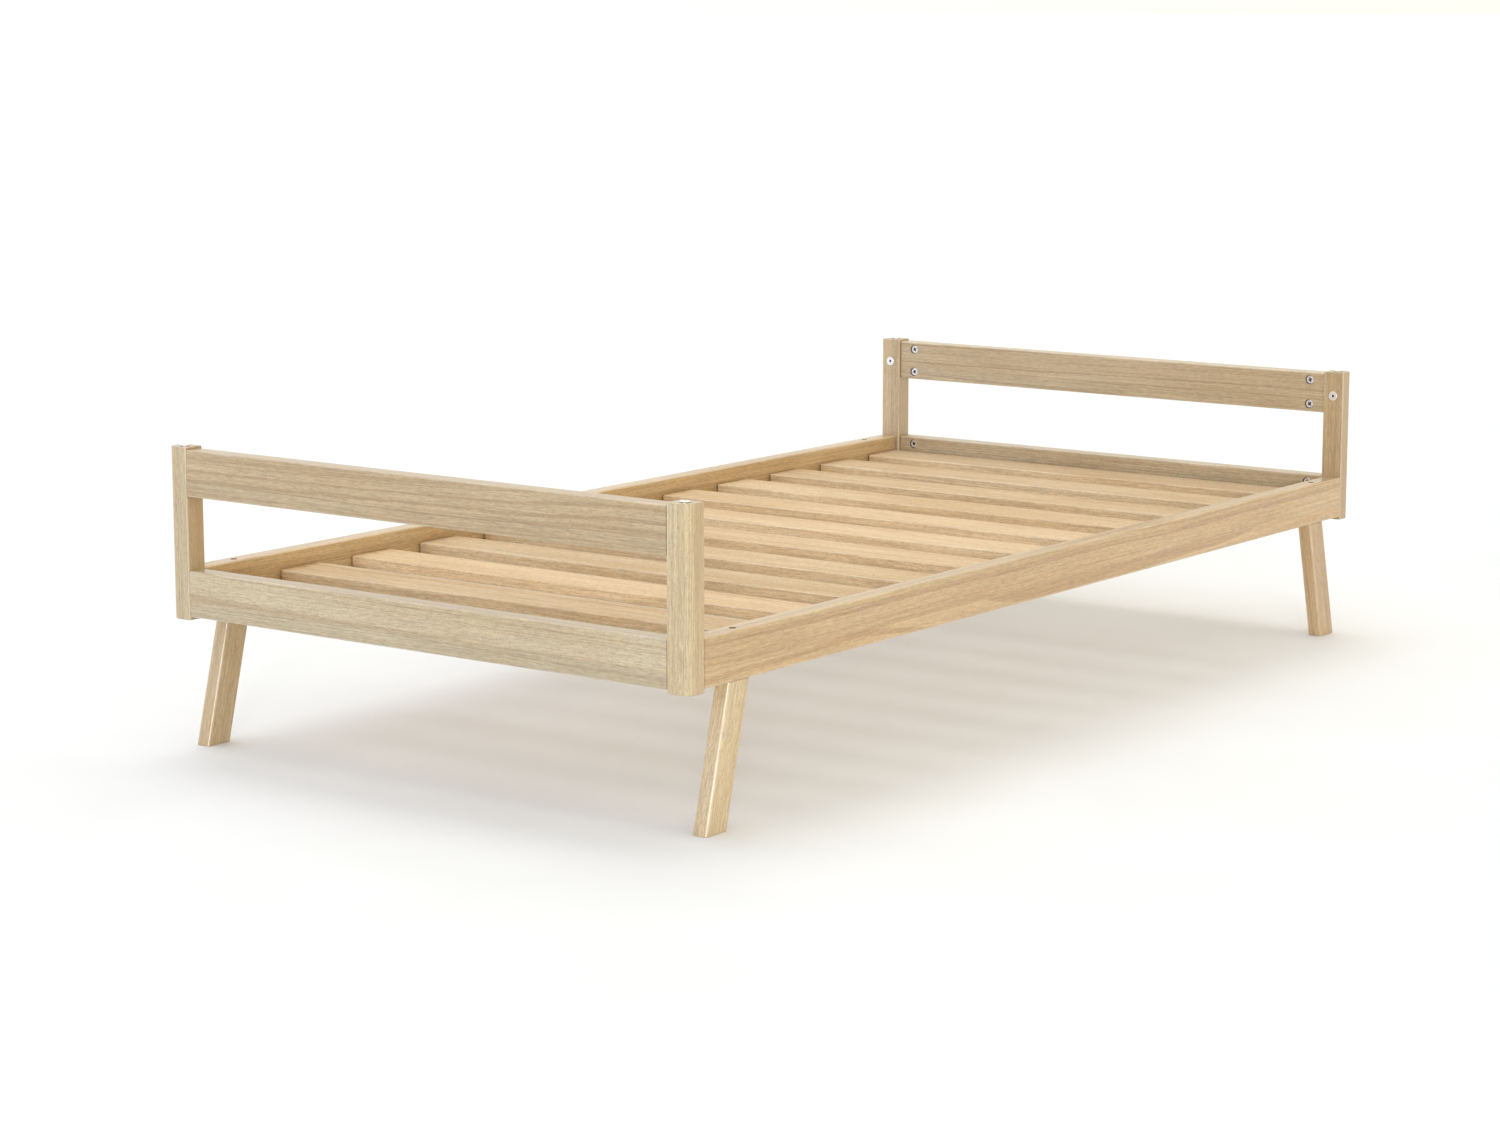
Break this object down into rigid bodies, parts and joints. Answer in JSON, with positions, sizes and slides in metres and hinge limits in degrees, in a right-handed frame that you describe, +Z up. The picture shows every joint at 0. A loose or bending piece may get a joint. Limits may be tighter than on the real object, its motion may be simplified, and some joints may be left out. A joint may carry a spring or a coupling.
{
  "type": "bed frame",
  "caption": "Low wooden single bed frame: posts with rounded corners joined by paired end rails, deep side rails on splayed legs, and a slatted base for a mattress.",
  "frame": {"origin": "on the floor, at the middle of the bed's length and width", "axes": "+X along the bed towards the head end, +Y to the left when standing at the foot end looking at the head, +Z up"},
  "size_m": [1.973, 1.005, 0.4763],
  "materials": {
    "post_wood": "clear satin lacquer over straight-grained light beech, grain upright",
    "end_rail_wood": "clear satin lacquer over straight-grained light beech, grain across the bed",
    "side_rail_wood": "clear satin lacquer over straight-grained light beech, grain along the bed",
    "leg_wood": "clear satin lacquer over straight-grained light beech, grain down the leg",
    "ledger_wood": "sanded and unlacquered beech",
    "slat_wood": "sanded and unlacquered beech",
    "cam_metal": "die-cast zinc, bright with a satin face",
    "bolt_metal": "nickel-plated steel, satin",
    "leg_bolt_metal": "zinc-plated steel, slightly dull"
  },
  "bodies": {
    "root": {"post_foot_right": "post_wood", "top_bolt_foot_right": "bolt_metal", "face_bolt_foot_right": "bolt_metal", "leg_foot_right": "leg_wood", "leg_bolt_foot_right": "leg_bolt_metal", "post_foot_left": "post_wood", "top_bolt_foot_left": "bolt_metal", "face_bolt_foot_left": "bolt_metal", "leg_foot_left": "leg_wood", "leg_bolt_foot_left": "leg_bolt_metal", "end_rail_foot_bottom": "end_rail_wood", "cam_foot_bottom_right_lower": "cam_metal", "cam_foot_bottom_right_upper": "cam_metal", "cam_foot_bottom_left_lower": "cam_metal", "cam_foot_bottom_left_upper": "cam_metal", "end_rail_foot_top": "end_rail_wood", "cam_foot_top_right_lower": "cam_metal", "cam_foot_top_right_upper": "cam_metal", "cam_foot_top_left_lower": "cam_metal", "cam_foot_top_left_upper": "cam_metal", "post_head_right": "post_wood", "top_bolt_head_right": "bolt_metal", "face_bolt_head_right": "bolt_metal", "leg_head_right": "leg_wood", "leg_bolt_head_right": "leg_bolt_metal", "post_head_left": "post_wood", "top_bolt_head_left": "bolt_metal", "face_bolt_head_left": "bolt_metal", "leg_head_left": "leg_wood", "leg_bolt_head_left": "leg_bolt_metal", "end_rail_head_bottom": "end_rail_wood", "cam_head_bottom_right_lower": "cam_metal", "cam_head_bottom_right_upper": "cam_metal", "cam_head_bottom_left_lower": "cam_metal", "cam_head_bottom_left_upper": "cam_metal", "end_rail_head_top": "end_rail_wood", "cam_head_top_right_lower": "cam_metal", "cam_head_top_right_upper": "cam_metal", "cam_head_top_left_lower": "cam_metal", "cam_head_top_left_upper": "cam_metal", "side_rail_right": "side_rail_wood", "ledger_right": "ledger_wood", "cam_side_right_foot": "cam_metal", "cam_side_right_head": "cam_metal", "side_rail_left": "side_rail_wood", "ledger_left": "ledger_wood", "cam_side_left_foot": "cam_metal", "cam_side_left_head": "cam_metal", "slat_01": "slat_wood", "slat_02": "slat_wood", "slat_03": "slat_wood", "slat_04": "slat_wood", "slat_05": "slat_wood", "slat_06": "slat_wood", "slat_07": "slat_wood", "slat_08": "slat_wood", "slat_09": "slat_wood", "slat_10": "slat_wood", "slat_11": "slat_wood", "slat_12": "slat_wood"}
  },
  "joints": []
}
